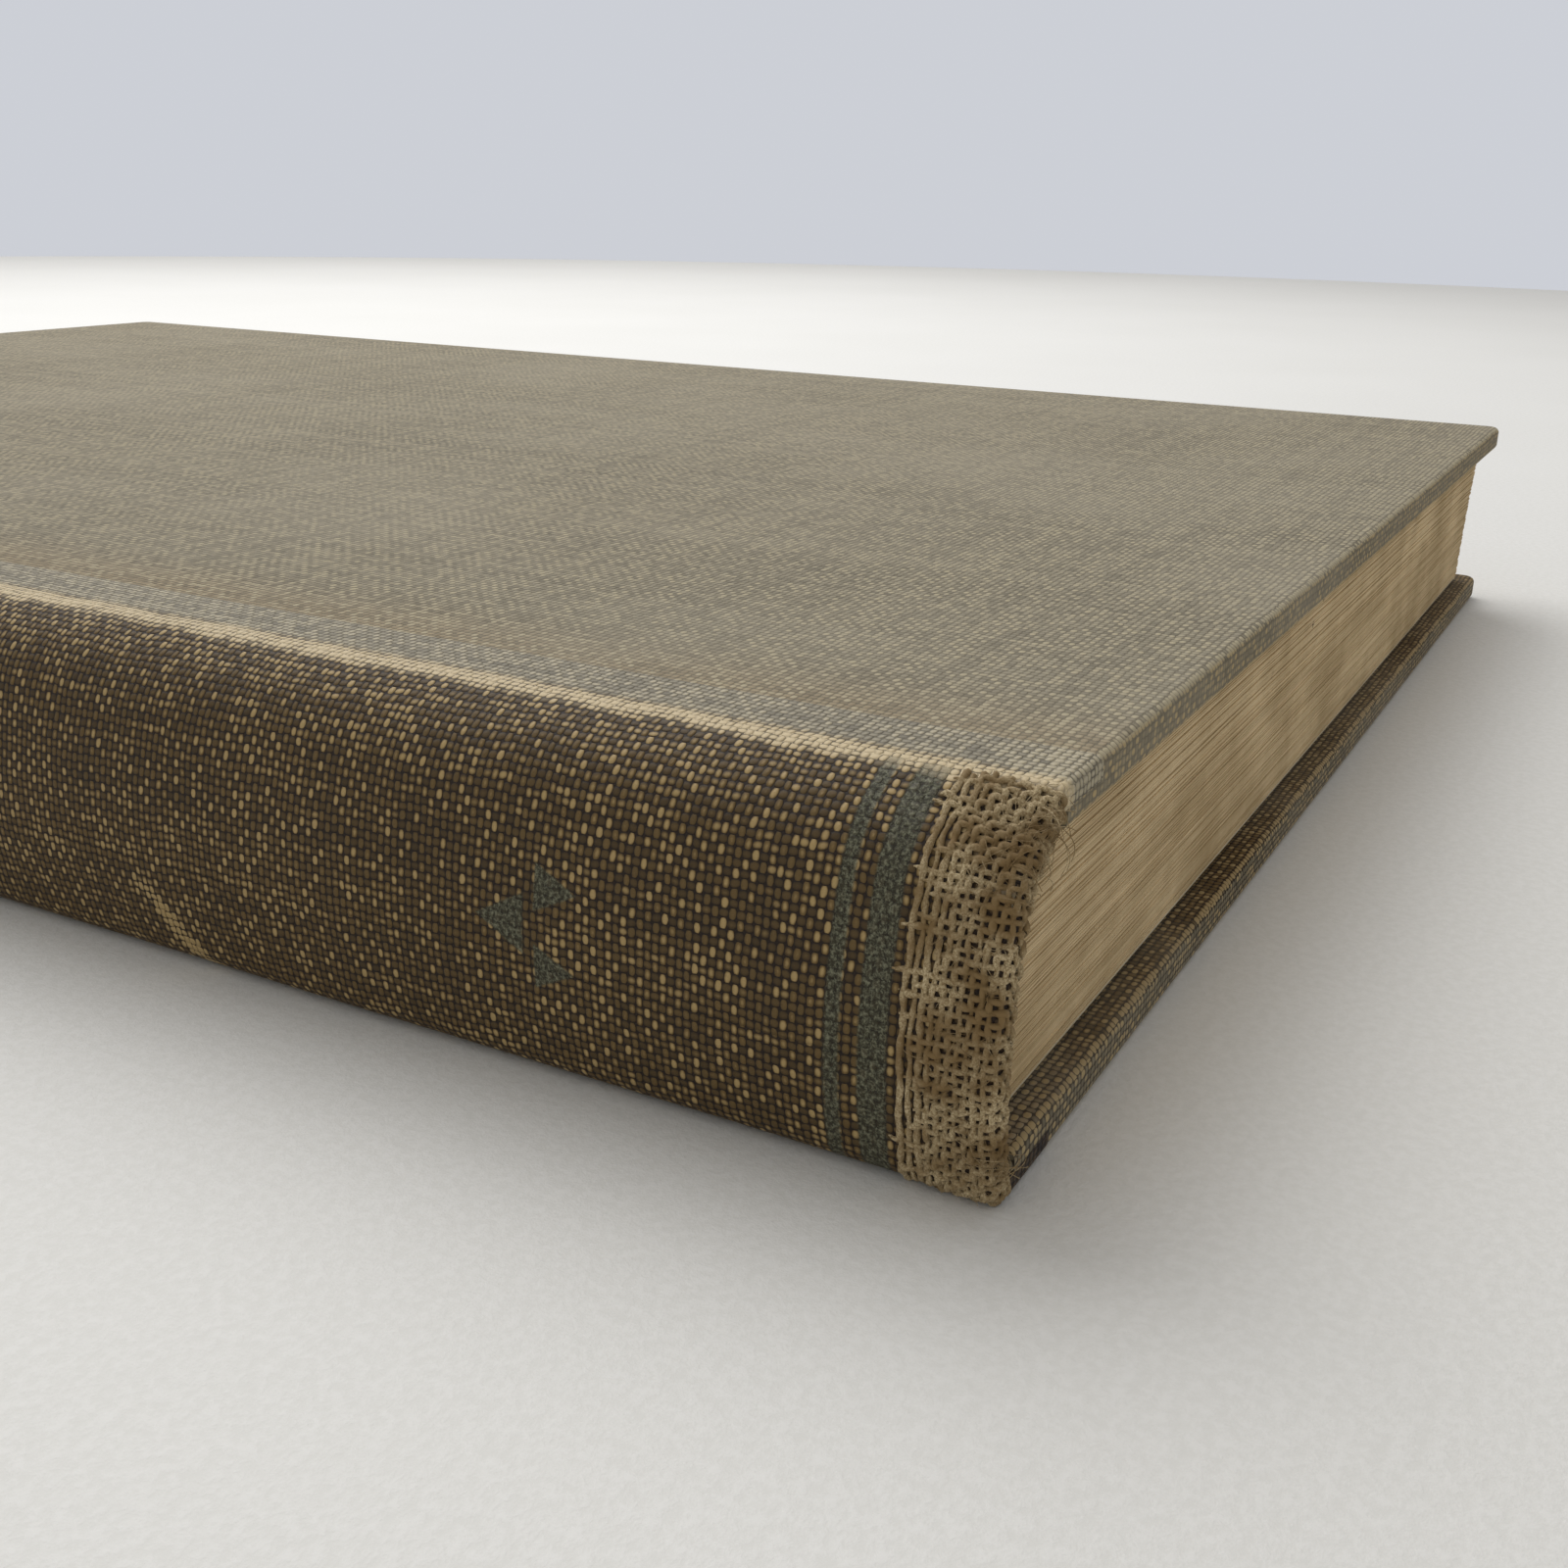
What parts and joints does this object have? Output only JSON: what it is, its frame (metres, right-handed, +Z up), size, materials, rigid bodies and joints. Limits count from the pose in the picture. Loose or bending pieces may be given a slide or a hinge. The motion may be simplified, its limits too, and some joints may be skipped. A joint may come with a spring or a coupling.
{
  "type": "hardback book",
  "caption": "Cloth-bound hardback book lying closed, with a rounded, slightly cocked spine, frayed at the tail, and two covers that open on their joints.",
  "frame": {"origin": "middle of the closed book's footprint, on the surface that its back cover lies on", "axes": "+X from the spine to the fore edge, +Y from the tail to the head, +Z up from the back cover to the front cover"},
  "size_m": [0.154, 0.224, 0.02],
  "materials": {
    "book_cloth": "coarse plain weave, olive brown, rubbed pale on its knots and edges",
    "millboard": "dense grey-brown board",
    "leaves": "toned, trimmed leaf edges with a little foxing",
    "endpaper": "plain laid paper, toned at its edges",
    "lining_paper": "brown paper stiff with old glue",
    "mull": "open starched gauze"
  },
  "bodies": {
    "root": {"text_block": "leaves", "spine_mull": "mull", "spine_lining": "lining_paper", "spine_inlay": "millboard", "spine_cloth": "book_cloth", "front_flyleaf": "endpaper", "back_flyleaf": "endpaper"},
    "front_cover": {"front_board": "millboard", "front_cover_cloth": "book_cloth", "front_mull_flange": "mull", "front_pastedown": "endpaper"},
    "back_cover": {"back_board": "millboard", "back_cover_cloth": "book_cloth", "back_mull_flange": "mull", "back_pastedown": "endpaper"}
  },
  "joints": [
    {"name": "front_cover_hinge", "type": "hinge", "parent": "root", "child": "front_cover", "pos_m": [-0.07012, 0, 0.02015], "axis": [0, -1, 0], "range_deg": [0, 175]},
    {"name": "back_cover_hinge", "type": "hinge", "parent": "root", "child": "back_cover", "pos_m": [-0.07411, 0, -0.00015], "axis": [0, 1, 0], "range_deg": [0, 175]}
  ]
}
